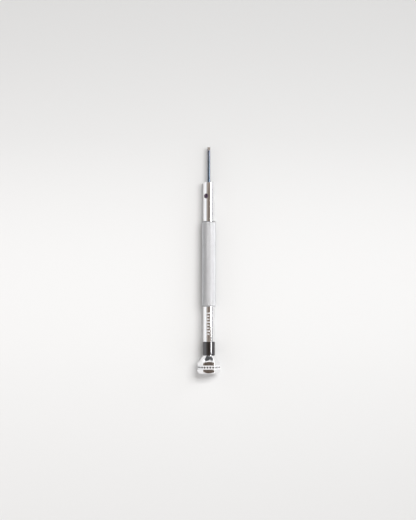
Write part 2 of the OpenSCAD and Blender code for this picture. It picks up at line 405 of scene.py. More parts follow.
class Value:
    """A number that nodes work out, so that a formula can be written as one."""

    def __init__(self, tree, socket):
        self.tree = tree
        self.socket = socket

    def do(self, operation, *others):
        node = self.tree.nodes.new("ShaderNodeMath")
        node.operation = operation
        plug(self.tree, node.inputs, (self, *others))
        return Value(self.tree, node.outputs[0])

    def __add__(self, other):
        return self.do("ADD", other)

    def __sub__(self, other):
        return self.do("SUBTRACT", other)

    def __mul__(self, other):
        return self.do("MULTIPLY", other)

    def __truediv__(self, other):
        return self.do("DIVIDE", other)

    def limit(self, low, high):
        return self.do("MAXIMUM", low).do("MINIMUM", high)

    def spread(self, from_low, from_high, to_low, to_high):
        """Maps one range onto another and stays inside it."""
        node = add(self.tree, "ShaderNodeMapRange", self, from_low, from_high, to_low, to_high)
        return Value(self.tree, node.outputs[0])


def plug(tree, sockets, values):
    """Links or sets a node's inputs in order, and leaves out those whose value is None."""
    for socket, value in zip(sockets, values):
        if isinstance(value, Value):
            tree.links.new(value.socket, socket)
        elif isinstance(value, bpy.types.NodeSocket):
            tree.links.new(value, socket)
        elif value is not None:
            socket.default_value = value


def add(tree, kind, *values, **settings):
    """Adds a node with its settings and its inputs."""
    node = tree.nodes.new(kind)
    for name, setting in settings.items():
        setattr(node, name, setting)
    plug(tree, node.inputs, values)
    return node


def split(tree, vector):
    """The three parts of a vector."""
    node = add(tree, "ShaderNodeSeparateXYZ", vector)
    return [Value(tree, socket) for socket in node.outputs]


def combine(tree, *parts):
    return add(tree, "ShaderNodeCombineXYZ", *parts).outputs[0]


def start_tree(name, **inputs):
    """A geometry tree with named inputs, and those inputs as values."""
    tree = bpy.data.node_groups.new(name, "GeometryNodeTree")
    tree.interface.new_socket("Geometry", in_out="OUTPUT", socket_type="NodeSocketGeometry")
    for socket_name, kind in inputs.items():
        tree.interface.new_socket(socket_name, in_out="INPUT", socket_type="NodeSocket" + kind)
    group = tree.nodes.new("NodeGroupInput")
    return tree, {key: Value(tree, group.outputs[key]) for key in inputs}


def end_tree(tree, geometry, material):
    """Ends a geometry tree with plain, painted geometry."""
    real = add(tree, "GeometryNodeRealizeInstances", geometry)
    painted = add(tree, "GeometryNodeSetMaterial", real.outputs[0], None, material)
    add(tree, "NodeGroupOutput", painted.outputs[0])


def grow(name, tree, **values):
    """Runs a geometry tree and keeps what it makes as a plain mesh."""
    piece = new_object(name, bpy.data.meshes.new(name))
    modifier = piece.modifiers.new(name, "NODES")
    modifier.node_group = tree
    for item in tree.interface.items_tree:
        if item.in_out == "INPUT":
            modifier[item.identifier] = values[item.name]
    return bake(piece)


# Finishes


def start_finish(name):
    """A new material, its tree, its surface node and its object coordinates."""
    material = bpy.data.materials.new(name)
    material.use_nodes = True
    tree = material.node_tree
    surface = tree.nodes["Principled BSDF"]
    coordinates = add(tree, "ShaderNodeTexCoord").outputs["Object"]
    return material, tree, surface, coordinates


def paint(tree, surface, metallic, base, roughness, normal):
    """Gives a surface the colour, roughness and normal that a finish works out."""
    surface.inputs["Metallic"].default_value = metallic
    sockets = [surface.inputs[name] for name in ("Base Color", "Roughness", "Normal")]
    plug(tree, sockets, (base, roughness, normal))


def scaled(tree, vector, *scale):
    """Coordinates multiplied along X, Y and Z."""
    if any(isinstance(part, Value) for part in scale):
        scale = combine(tree, *scale)
    node = add(tree, "ShaderNodeVectorMath", vector, scale, operation="MULTIPLY")
    return node.outputs[0]


def noise(tree, vector, detail=3.0, roughness=0.5):
    node = add(tree, "ShaderNodeTexNoise", vector, None, 1.0, detail, roughness)
    return Value(tree, node.outputs[0])


def mixed(tree, factor, low, high):
    """A colour between two colours."""
    node = tree.nodes.new("ShaderNodeMix")
    node.data_type = "RGBA"
    plug(tree, [node.inputs[0], node.inputs[6], node.inputs[7]],
         (factor, (*low, 1.0), (*high, 1.0)))
    return node.outputs[2]


def ramp(tree, factor, stops):
    """A colour that runs through stops of (position, colour)."""
    node = add(tree, "ShaderNodeValToRGB", factor)
    elements = node.color_ramp.elements
    while len(elements) < len(stops):
        elements.new(0.5)
    for element, (position, shade) in zip(elements, stops):
        element.position = position
        element.color = (*shade, 1.0)
    return node


def shade_of(base, factor):
    return tuple(min(1.0, part * factor) for part in base)


def bump(tree, height, distance, strength=1.0):
    return add(tree, "ShaderNodeBump", strength, distance, None, height).outputs[0]


def from_axis(tree, coordinates):
    """Station along the tool and distance from its axis."""
    x, y, z = split(tree, coordinates)
    up = z - AXIS_Z
    return x, (y * y + up * up).do("SQRT")


def turned_metal(name, base, polish, lines=0.25e-6, cloud=0.04, waves=0.0):
    """Metal from a lathe: faint lines around the axis and soft clouds in the polish.

    Hand polishing leaves a surface a little wavy, which is what the waves are for."""
    material, tree, surface, coordinates = start_finish(name)
    x, radius = from_axis(tree, coordinates)
    rings = noise(tree, scaled(tree, combine(tree, x, radius, 0.0), 14000, 14000, 1), 2.0)
    clouds = noise(tree, scaled(tree, coordinates, 420, 420, 420), 4.0, 0.6)
    scratches = noise(tree, scaled(tree, coordinates, 900, 14000, 14000), 2.0, 0.7)
    wear = (scratches.spread(0.55, 0.8, 0.0, 1.0) * 0.5 + clouds).spread(0.3, 1.0, 0.0, 1.0)
    normal = bump(tree, rings, lines)
    if waves:
        wavy = noise(tree, scaled(tree, coordinates, 520, 640, 640), 1.0)
        normal = add(tree, "ShaderNodeBump", 1.0, waves, None, wavy, normal).outputs[0]
    paint(tree, surface, 1.0,
          mixed(tree, clouds, shade_of(base, 1 - cloud), shade_of(base, 1 + cloud)),
          wear.spread(0.0, 1.0, *polish), normal)
    return material


def knurled_metal(finishes, sizes):
    """Satin metal whose colour is painted darker down the grooves as painted shade and lighter on the crests."""
    material, tree, surface, coordinates = start_finish("knurled_steel")
    radius = from_axis(tree, coordinates)[1]
    crest = radius.spread(GRIP_RADIUS - sizes.depth, GRIP_RADIUS, 0.0, 1.0)
    clouds = noise(tree, scaled(tree, coordinates, 500, 900, 900), 4.0, 0.6)
    grain = noise(tree, scaled(tree, coordinates, 26000, 26000, 26000), 2.0)
    # painted shade: the colour darkens from the crests down into the grooves, with a little random tone from the
    # clouds
    height = (crest * 0.85 + clouds.spread(0.3, 0.7, 0.0, 0.15)).limit(0.0, 1.0)
    paint(tree, surface, 1.0,
          mixed(tree, height, shade_of(finishes.knurl, 0.62), shade_of(finishes.knurl, 1.12)),
          height.spread(0.0, 1.0, 0.60, 0.45), bump(tree, grain, 1.2e-6))
    return material


def blued_metal(finishes):
    """Steel tempered blue, with the violet and straw tints that the heat leaves."""
    material, tree, surface, coordinates = start_finish("blued_steel")
    x = split(tree, coordinates)[0]
    tint = noise(tree, scaled(tree, coordinates, 260, 700, 700), 3.0, 0.6)
    lines = noise(tree, scaled(tree, coordinates, 600, 22000, 22000), 2.0, 0.6)
    heat = (x.spread(NOSE_X, TIP_X, 0.0, 0.55) + tint * 0.5).limit(0.0, 1.0)
    red, green, blue = finishes.blued
    tints = ramp(tree, heat, (
        (0.15, (red * 0.85, green * 0.95, blue * 1.1)), (0.55, (red, green, blue)),
        (0.80, (red * 1.15, green * 0.98, blue * 1.02)),
        (0.97, (red * 1.5, green * 1.2, blue * 0.9))))
    paint(tree, surface, 1.0, tints.outputs[0], lines.spread(0.3, 0.7, 0.16, 0.28),
          bump(tree, lines, 0.4e-6))
    return material


def ground_metal(finishes):
    """Bright steel with fine grinding lines across the blade."""
    material, tree, surface, coordinates = start_finish("ground_steel")
    lines = noise(tree, scaled(tree, coordinates, 32000, 700, 700), 3.0, 0.7)
    paint(tree, surface, 1.0,
          mixed(tree, lines, shade_of(finishes.ground, 0.8), shade_of(finishes.ground, 1.15)),
          lines.spread(0.3, 0.7, 0.22, 0.38), bump(tree, lines, 0.8e-6))
    return material


def rough_finish(name, base, metallic, roughness, grain, depth):
    """Any plain finish with a fine grain: etched or dark steel, ball steel, paint or nylon."""
    material, tree, surface, coordinates = start_finish(name)
    speckle = noise(tree, scaled(tree, coordinates, grain, grain, grain), 3.0, 0.6)
    clouds = noise(tree, scaled(tree, coordinates, 600, 600, 600), 3.0, 0.6)
    paint(tree, surface, metallic,
          mixed(tree, clouds, shade_of(base, 0.86), shade_of(base, 1.14)),
          speckle.spread(0.3, 0.7, *roughness), bump(tree, speckle, depth))
    return material


def bench_finish(base):
    """A pale bench with a painted pool of light in its colour: brightest under the tool's rear half and darker
    towards the lights.
    """
    material, tree, surface, coordinates = start_finish("pale_bench")
    x, y, _ = split(tree, coordinates)
    # painted light: how much of the base colour each place along the bench gets
    painted_light_shares = ((0.03, 0.94), (0.30, 1.005), (0.42, 1.015), (0.56, 0.987), (0.72, 0.865),
              (0.97, 0.715))
    along = ramp(tree, x.spread(-0.10, 0.10, 0.0, 1.0),
                 [(position, shade_of(base, share)) for position, share in painted_light_shares])
    along.color_ramp.interpolation = "B_SPLINE"
    # painted light: the colour also brightens steadily across the bench
    across = y.spread(-0.15, 0.15, 0.875, 1.125)
    surface.inputs["Roughness"].default_value = 0.9
    surface.inputs["Specular IOR Level"].default_value = 0.1
    plug(tree, [surface.inputs["Base Color"]], [scaled(tree, along.outputs[0], *[across] * 3)])
    return material


# Geometry trees


def knurl_tree():
    """A grip whose surface is cut by two hands of helical grooves into flat-topped diamonds.

    The lattice counts the grooves of each hand. Only its whole numbers lie in a groove, so
    widening what is between them makes the grooves narrow and the crests wide."""
    tree, size = start_tree(
        "knurled_grip", Radius="Float", Depth="Float", Length="Float", Start="Float",
        Height="Float", Edge="Float", Starts="Int", Rows="Int", Material="Material")
    around = size["Starts"] * 2
    rows = size["Rows"]
    grid = add(tree, "GeometryNodeMeshGrid", 1.0, 1.0, rows + 3, around + 1)
    flat_x, flat_y, _ = split(tree, add(tree, "GeometryNodeInputPosition").outputs[0])
    row = (flat_x + 0.5) * (rows + 2) - 1
    column = (flat_y + 0.5) * around
    checker = (row.do("FLOOR") + column.do("FLOOR")).do("FLOORED_MODULO", 2.0)
    one_way = add(tree, "GeometryNodeTriangulate", grid.outputs[0], checker,
                  quad_method="FIXED")
    both_ways = add(tree, "GeometryNodeTriangulate", one_way.outputs[0],
                    quad_method="FIXED_ALTERNATE")
    fine = add(tree, "GeometryNodeSubdivideMesh", both_ways.outputs[0], 1)

    def groove(lattice):
        """0 in the bottom of a groove and 1 on the crests, and the lattice once widened.

        The slope is below 1 next to a groove and above 1 between two grooves."""
        offset = lattice - lattice.do("ROUND")
        fold = offset.do("ABSOLUTE")
        narrow = (fold * 0.56).do("MAXIMUM", fold * 1.44 - 0.22)
        widened = lattice.do("ROUND") + offset.do("SIGN") * narrow
        return (fold * 4.0).limit(0.0, 1.0), widened

    crest_one, one_hand = groove((column + row) / 2)
    crest_other, other_hand = groove((column - row) / 2)
    crest = crest_one.do("MINIMUM", crest_other)
    from_end = row.do("MINIMUM", rows - row)
    edge = size["Radius"] - size["Edge"] + from_end.limit(0.0, 1e6) * size["Length"] / rows
    knurl = size["Radius"] - (crest * -1.0 + 1.0) * size["Depth"]
    radius = knurl.do("MINIMUM", edge) * (from_end + 1.0).limit(0.0, 1.0)
    turn = (one_hand + other_hand) * math.pi / size["Starts"]
    station = ((one_hand - other_hand) / rows).limit(0.0, 1.0)
    place = combine(tree, size["Start"] + station * size["Length"],
                    radius * turn.do("SINE"), radius * turn.do("COSINE") + size["Height"])
    wrapped = add(tree, "GeometryNodeSetPosition", fine.outputs[0], None, place)
    welded = add(tree, "GeometryNodeMergeByDistance", wrapped.outputs[0], None, 1e-6)
    end_tree(tree, welded.outputs[0], size["Material"])
    return tree


def graduation_tree():
    """Cutters for a row of short lines that follow a round bar, every third one longer."""
    tree, size = start_tree(
        "graduation", Count="Int", Step="Float", Start="Float", Width="Float", Short="Float",
        Tall="Float", Aside="Float", Radius="Float", Depth="Float", Height="Float",
        Material="Material")
    line = add(tree, "GeometryNodeMeshLine", size["Count"], None,
               combine(tree, size["Start"], 0.0, 0.0), combine(tree, size["Step"], 0.0, 0.0))
    bar = add(tree, "GeometryNodeMeshCube", (1.0, 1.0, 1.0), 2, 9, 2)
    index = Value(tree, add(tree, "GeometryNodeInputIndex").outputs[0])
    is_long = index.do("MODULO", 3.0) * -1.0 + 1.0
    reach = size["Short"] + is_long.limit(0.0, 1.0) * (size["Tall"] - size["Short"])
    bars = add(tree, "GeometryNodeInstanceOnPoints", line.outputs[0], None, bar.outputs[0],
               None, None, None, combine(tree, size["Width"], reach, size["Depth"] * 2.0))
    real = add(tree, "GeometryNodeRealizeInstances", bars.outputs[0])
    x, across, up = split(tree, add(tree, "GeometryNodeInputPosition").outputs[0])
    radius = size["Radius"] + up
    turn = (across + size["Aside"]) / size["Radius"]
    place = combine(tree, x, radius * turn.do("SINE"),
                    radius * turn.do("COSINE") + size["Height"])
    wrapped = add(tree, "GeometryNodeSetPosition", real.outputs[0], None, place)
    end_tree(tree, wrapped.outputs[0], size["Material"])
    return tree


def end_with_balls(tree, points, place, size, segments):
    """Ends a geometry tree with a ball at each point's place."""
    spots = add(tree, "GeometryNodeSetPosition", points.outputs[0], None, place)
    ball = add(tree, "GeometryNodeMeshUVSphere", segments, segments // 2, size["Radius"])
    balls = add(tree, "GeometryNodeInstanceOnPoints", spots.outputs[0], None, ball.outputs[0])
    end_tree(tree, balls.outputs[0], size["Material"])


def dimple_tree():
    """Cutters for a row of round dimples on each of the six flats."""
    tree, size = start_tree(
        "dimples", Count="Int", Step="Float", Station="Float", Flat="Float", Radius="Float",
        Height="Float", Material="Material")
    points = add(tree, "GeometryNodeMeshLine", size["Count"] * 6)
    index = Value(tree, add(tree, "GeometryNodeInputIndex").outputs[0])
    flat_number = (index / size["Count"]).do("FLOOR")
    across = (index - flat_number * size["Count"] - (size["Count"] - 1.0) * 0.5) * size["Step"]
    turn = flat_number * (2 * HALF_CORNER)
    place = combine(
        tree, size["Station"],
        size["Flat"] * turn.do("SINE") + across * turn.do("COSINE"),
        size["Flat"] * turn.do("COSINE") - across * turn.do("SINE") + size["Height"])
    end_with_balls(tree, points, place, size, 16)
    return tree


def pocket_tree():
    """Cutters for the pockets of the ball cage."""
    tree, size = start_tree(
        "ball_pockets", Count="Int", Circle="Float", Station="Float", Radius="Float",
        Height="Float", Material="Material")
    points = add(tree, "GeometryNodeMeshLine", size["Count"])
    index = Value(tree, add(tree, "GeometryNodeInputIndex").outputs[0])
    turn = index * FULL_TURN / size["Count"]
    place = combine(tree, size["Station"], size["Circle"] * turn.do("SINE"),
                    size["Height"] - size["Circle"] * turn.do("COSINE"))
    end_with_balls(tree, points, place, size, 48)
    return tree


# Operators


class SCREWDRIVER_OT_handle(bpy.types.Operator):
    """Turn the handle, drill it and engrave its graduation"""

    bl_idname = "screwdriver.handle"
    bl_label = "Handle"

    def execute(self, context):
        sizes = context.scene.handle_sizes
        blade = context.scene.blade_sizes
        marks = context.scene.mark_sizes
        finishes = context.scene.finishes
        chrome = turned_metal("polished_steel", finishes.chrome, (0.035, 0.10))
        etched = rough_finish("etched_marks", finishes.etched, 1.0, (0.60, 0.75), 16000, 2e-6)
        bore = BLADE_RADIUS + sizes.bore_play
        bore_end = NOSE_X - sizes.bore_depth
        hole_end = TAIL_X + sizes.axle_hole_depth
        near_grub = 1.3 * MM
        bar = lathe("handle_bar", [
            (hole_end + sizes.axle_hole_radius * DRILL_POINT, 0.0, 0.0),
            (hole_end, sizes.axle_hole_radius, 0.0),
            (TAIL_X, sizes.axle_hole_radius, 0.05 * MM),
            (TAIL_X, sizes.tail_radius, 0.12 * MM),
            (RING_END_X, sizes.tail_radius, 0.0),
            (RING_END_X, SHANK_RADIUS, sizes.shoulder_edge),
            (GRUB_X - near_grub, SHANK_RADIUS, 0.0),
            (GRUB_X + near_grub, SHANK_RADIUS, 0.0),
            (NOSE_X, SHANK_RADIUS, sizes.nose_edge),
            (NOSE_X, bore, 0.08 * MM),
            (bore_end, bore, 0.0),
            (bore_end - bore * DRILL_POINT, 0.0, 0.0),
        ], [chrome])
        hole = blade.grub_radius + blade.grub_play
        cut(bar, lathe("grub_hole", [
            (0.0, 0.0, 0.0), (0.0, hole, 0.0),
            (SHANK_RADIUS - 1.5 * blade.sink, hole, 0.0),
            (SHANK_RADIUS + 1.5 * blade.sink, hole + 3 * blade.sink, 0.0),
            (SHANK_RADIUS + 1.5 * blade.sink, 0.0, 0.0),
        ], [chrome], grub_axis(), 64))
        grip_start = RING_END_X + sizes.rear_length
        cut(bar, grow(
            "graduation_cutter", graduation_tree(), Count=marks.count, Step=-marks.step,
            Start=grip_start - marks.start, Width=marks.width, Short=marks.short,
            Tall=marks.tall, Aside=marks.aside, Radius=SHANK_RADIUS, Depth=marks.depth,
            Height=AXIS_Z, Material=etched))
        finish_piece(smooth(bar), "handle", "polished_body", "handle_body")
        return {"FINISHED"}


class SCREWDRIVER_OT_knurl(bpy.types.Operator):
    """Roll the diamond knurl of the grip"""

    bl_idname = "screwdriver.knurl"
    bl_label = "Knurled grip"

    def execute(self, context):
        sizes = context.scene.handle_sizes
        knurl = context.scene.knurl_sizes
        start = RING_END_X + sizes.rear_length
        grip = grow(
            "knurled_grip", knurl_tree(), Radius=GRIP_RADIUS, Depth=knurl.depth,
            Length=NOSE_X - sizes.nose_length - start, Start=start, Height=AXIS_Z,
            Edge=knurl.edge, Starts=knurl.starts, Rows=knurl.rows,
            Material=knurled_metal(context.scene.finishes, knurl))
        finish_piece(smooth(grip), "handle", "polished_body", "handle_body")
        return {"FINISHED"}


class SCREWDRIVER_OT_blade(bpy.types.Operator):
    """Draw the round blade and grind its tip"""

    bl_idname = "screwdriver.blade"
    bl_label = "Blade"

    side_steps = 24
    flat_steps = 8
    tip_steps = 10

    def section(self, bm, x, radius, half_thickness):
        """A ring around the blade: two round sides and two flats, as wide as they come out."""
        corner = math.asin(min(1.0, half_thickness / radius))
        width = radius * math.cos(corner)
        ring = []
        for side in (1, -1):
            for step in range(self.side_steps):
                turn = corner * (2 * step / self.side_steps - 1)
                ring.append((side * radius * math.cos(turn), side * radius * math.sin(turn)))
            for step in range(self.flat_steps):
                ring.append((side * width * (1 - 2 * step / self.flat_steps),
                             side * half_thickness))
        return [bm.verts.new((x, y, AXIS_Z + z)) for y, z in ring]

    def execute(self, context):
        sizes = context.scene.blade_sizes
        finishes = context.scene.finishes
        bm = bmesh.new()
        edge = sizes.end_edge
        rings = [
            self.section(bm, BLADE_START_X, BLADE_RADIUS - edge, BLADE_RADIUS - edge),
            self.section(bm, BLADE_START_X + edge, BLADE_RADIUS, BLADE_RADIUS),
            self.section(bm, NOSE_X, BLADE_RADIUS, BLADE_RADIUS),
        ]
        round_rings = len(rings)
        for step in range(self.tip_steps + 1):
            share = step / self.tip_steps
            thickness = BLADE_RADIUS + (sizes.tip_thickness / 2 - BLADE_RADIUS) * share
            thickness -= sizes.hollow * math.sin(math.pi * share)
            rings.append(self.section(bm, TIP_X - sizes.tip_length * (1 - share),
                                      BLADE_RADIUS, thickness))
        count = len(rings[0])
        for number, (one, other) in enumerate(zip(rings, rings[1:])):
            for index in range(count):
                after = (index + 1) % count
                face = bm.faces.new((one[index], one[after], other[after], other[index]))
                on_flat = index % (self.side_steps + self.flat_steps) >= self.side_steps
                face.material_index = int(number >= round_rings and on_flat)
        bm.faces.new(rings[0])
        bm.faces.new(rings[-1]).material_index = 1
        bmesh.ops.dissolve_degenerate(bm, dist=1e-8, edges=bm.edges)
        piece = close_mesh("blade_steel", bm, [blued_metal(finishes), ground_metal(finishes)])
        finish_piece(smooth(piece), "blade", "blued_steel", "blade")
        return {"FINISHED"}


class SCREWDRIVER_OT_grub_screw(bpy.types.Operator):
    """Make the slotted grub screw that holds the blade"""

    bl_idname = "screwdriver.grub_screw"
    bl_label = "Grub screw"

    def execute(self, context):
        sizes = context.scene.blade_sizes
        finish = rough_finish("dark_screw_steel", context.scene.finishes.grub, 1.0,
                              (0.22, 0.4), 12000, 1e-6)
        tip = BLADE_RADIUS + sizes.grub_play
        top = SHANK_RADIUS - sizes.grub_depth
        screw = lathe("grub_screw", [
            (tip, 0.0, 0.0), (tip, sizes.grub_radius - sizes.grub_cone, 0.03 * MM),
            (tip + sizes.grub_cone, sizes.grub_radius, 0.0),
            (top, sizes.grub_radius, 0.08 * MM), (top, 0.0, 0.0),
        ], [finish], grub_axis(), 96)
        turn = Matrix.Rotation(sizes.grub_slot_turn, 4, "X")
        place = grub_axis() @ Matrix.Translation((top, 0, 0)) @ turn
        cut(screw, block("slot", (2 * sizes.grub_slot_depth, 4 * sizes.grub_radius,
                                  sizes.grub_slot), place, [finish]))
        finish_piece(smooth(screw), "blade_screw", "screw_steel", "blade_screw")
        return {"FINISHED"}


class SCREWDRIVER_OT_size_ring(bpy.types.Operator):
    """Make the glossy ring whose colour stands for the blade's size"""

    bl_idname = "screwdriver.size_ring"
    bl_label = "Size ring"

    def execute(self, context):
        inner = context.scene.handle_sizes.tail_radius
        finish = turned_metal("black_anodising", context.scene.finishes.ring, (0.10, 0.17),
                              0.15e-6, 0.06)
        ring = lathe("black_ring", [
            (RING_START_X, inner, 0.05 * MM), (RING_START_X, RING_RADIUS, 0.12 * MM),
            (RING_END_X, RING_RADIUS, 0.12 * MM), (RING_END_X, inner, 0.05 * MM),
        ], [finish])
        finish_piece(smooth(ring, 40), "handle", "black_anodised", "size_ring")
        return {"FINISHED"}


class SCREWDRIVER_OT_head(bpy.types.Operator):
    """Turn the swivel head, mill its hexagon, etch its band and dimple it"""

    bl_idname = "screwdriver.head"
    bl_label = "Swivel head"

    def flare(self, sizes):
        """The bulging curve from the hexagon's front face to the mouth."""
        start = Vector((HEAD_START_X + sizes.hex_length, HEAD_FLAT_RADIUS - sizes.end_edge))
        end = Vector((HEAD_END_X, sizes.mouth_radius))
        chord = end - start
        rise = math.sqrt(sizes.flare_curve ** 2 - (chord.length / 2) ** 2)
        inwards = Vector((chord.y, -chord.x)).normalized()
        centre = (start + end) / 2 + inwards * rise
        angles = [math.degrees(math.atan2(p.y - centre.y, p.x - centre.x))
                  for p in (start, end)]
        return curve(centre, sizes.flare_curve, *angles, 24)

    def execute(self, context):
        sizes = context.scene.head_sizes
        finishes = context.scene.finishes
        chrome = turned_metal("polished_head_steel", finishes.chrome, (0.03, 0.09), waves=1.3e-4)
        etched = rough_finish("etched_band", finishes.etched, 1.0, (0.60, 0.75), 16000, 2e-6)
        black = rough_finish("dimple_fill", finishes.fill, 0.0, (0.5, 0.7), 9000, 2e-6)
        corner = HEAD_FLAT_RADIUS / math.cos(HALF_CORNER)
        face = HEAD_FLAT_RADIUS - sizes.end_edge
        over = corner - face + 0.3 * MM
        rise = over * math.tan(sizes.chamfer)
        front = HEAD_START_X + sizes.hex_length
        step = BEARING_END_X + sizes.relief
        head = lathe("swivel_head_steel", [
            (HEAD_START_X, BEARING_RADIUS, 0.04 * MM),
            (HEAD_START_X, face, 0.02 * MM),
            (HEAD_START_X + rise, face + over, 0.0),
            (front - rise, face + over, 0.0),
            *self.flare(sizes),
            (HEAD_END_X, sizes.recess_radius, 0.04 * MM),
            (HEAD_END_X - sizes.recess_depth, sizes.recess_radius, 0.0),
            (HEAD_END_X - sizes.recess_depth, sizes.throat_radius, 0.04 * MM),
            (step, sizes.throat_radius, 0.0),
            (step, context.scene.bearing_sizes.land_radius, 0.0),
            (BEARING_END_X, context.scene.bearing_sizes.land_radius, 0.0),
            (BEARING_END_X, BEARING_RADIUS, 0.0),
        ], [chrome])
        cut(head, prism("hexagon", hexagon(HEAD_FLAT_RADIUS, sizes.corner_edge),
                        HEAD_START_X - MM, HEAD_END_X + MM, [chrome]), "INTERSECT")
        middle = HEAD_START_X + sizes.hex_length / 2
        band = lathe("band", [
            (middle - sizes.band_width / 2, 0.0, 0.0),
            (middle - sizes.band_width / 2, 2 * corner, 0.0),
            (middle + sizes.band_width / 2, 2 * corner, 0.0),
            (middle + sizes.band_width / 2, 0.0, 0.0),
        ], [etched])
        cut(band, prism("band_floor", hexagon(HEAD_FLAT_RADIUS - sizes.band_depth,
                                              sizes.corner_edge),
                        HEAD_START_X, HEAD_END_X, [etched]))
        cut(head, band)
        cut(head, grow(
            "dimple_cutter", dimple_tree(), Count=sizes.dimples, Step=sizes.dimple_step,
            Station=middle, Flat=HEAD_FLAT_RADIUS - sizes.band_depth / 2,
            Radius=sizes.dimple_radius, Height=AXIS_Z, Material=black))
        finish_piece(smooth(head, 20), "head", "polished_head", "swivel_head")
        return {"FINISHED"}


class SCREWDRIVER_OT_finger_cap(bpy.types.Operator):
    """Turn the dished cap that closes the head"""

    bl_idname = "screwdriver.finger_cap"
    bl_label = "Finger cap"

    def execute(self, context):
        sizes = context.scene.head_sizes
        skirt = BEARING_RADIUS - sizes.skirt
        dish = (skirt ** 2 + sizes.dish ** 2) / (2 * sizes.dish)
        half = math.degrees(math.asin(skirt / dish))
        finish = turned_metal("polished_cap_steel", context.scene.finishes.chrome,
                              (0.04, 0.11), 0.5e-6)
        floor = HEAD_START_X + sizes.cap_thickness
        cap = lathe("dished_finger_cap", [
            (floor, 0.0, 0.0), (floor, skirt, 0.1 * MM), (BEARING_START_X, skirt, 0.03 * MM),
            (BEARING_START_X, BEARING_RADIUS, 0.03 * MM),
            (HEAD_START_X, BEARING_RADIUS, 0.08 * MM),
            *curve((HEAD_START_X + sizes.dish - dish, 0.0), dish, half, 0, 16),
        ], [finish])
        finish_piece(smooth(cap), "head", "polished_head", "finger_cap")
        return {"FINISHED"}


class SCREWDRIVER_OT_axle(bpy.types.Operator):
    """Make the spacer and the screw that hold the head on the handle"""

    bl_idname = "screwdriver.axle"
    bl_label = "Spacer and axle screw"

    def thread(self, start, end, radius, pitch):
        """Crests and roots of a fine thread, as corners of an outline."""
        turns = int((end - start) / pitch)
        depth = pitch * 0.3
        corners = []
        for turn in range(turns):
            x = start + turn * pitch
            corners += [(x, radius, 0.0), (x + pitch / 2, radius - depth, 0.0)]
        return corners + [(start + turns * pitch, radius, 0.0)]

    def execute(self, context):
        sizes = context.scene.head_sizes
        finishes = context.scene.finishes
        turned = turned_metal("turned_spacer_steel", finishes.bearing, (0.14, 0.26))
        steel = turned_metal("screw_steel", finishes.bearing, (0.16, 0.30))
        spacer_start, spacer_end, flange_radius = span("spacer")
        flange_x = spacer_end - sizes.flange
        spacer = lathe("flanged_spacer", [
            (spacer_start, sizes.axle_radius, 0.03 * MM),
            (spacer_start, sizes.sleeve_radius, 0.05 * MM),
            (flange_x, sizes.sleeve_radius, 0.03 * MM), (flange_x, flange_radius, 0.05 * MM),
            (spacer_end, flange_radius, 0.03 * MM),
            (spacer_end, sizes.axle_radius, 0.03 * MM),
        ], [turned])
        finish_piece(smooth(spacer), "handle", "spacer_steel", "spacer")
        axle_start, axle_end, head_radius = span("axle_screw")
        hole = context.scene.handle_sizes.axle_hole_radius
        neck = TAIL_X - sizes.axle_neck
        thread = self.thread(TAIL_X, axle_end - 0.3 * MM, hole, sizes.thread_pitch)
        screw = lathe("shouldered_axle_screw", [
            (axle_start, 0.0, 0.0), (axle_start, head_radius, 0.1 * MM),
            (axle_start + sizes.axle_head, head_radius, 0.05 * MM),
            (axle_start + sizes.axle_head, sizes.axle_radius, 0.0),
            (neck, sizes.axle_radius, 0.05 * MM), (neck, hole * 0.85, 0.0),
            (TAIL_X - 0.1 * MM, hole * 0.85, 0.0), *thread,
            (axle_end, hole * 0.7, 0.0), (axle_end, 0.0, 0.0),
        ], [steel])
        slot_place = Matrix.Translation((axle_start, 0, AXIS_Z))
        slot_size = (2 * sizes.axle_slot_depth, 4 * head_radius, sizes.axle_slot)
        cut(screw, block("slot", slot_size, slot_place, [steel]))
        finish_piece(smooth(screw), "handle", "screw_steel", "axle_screw")
        return {"FINISHED"}


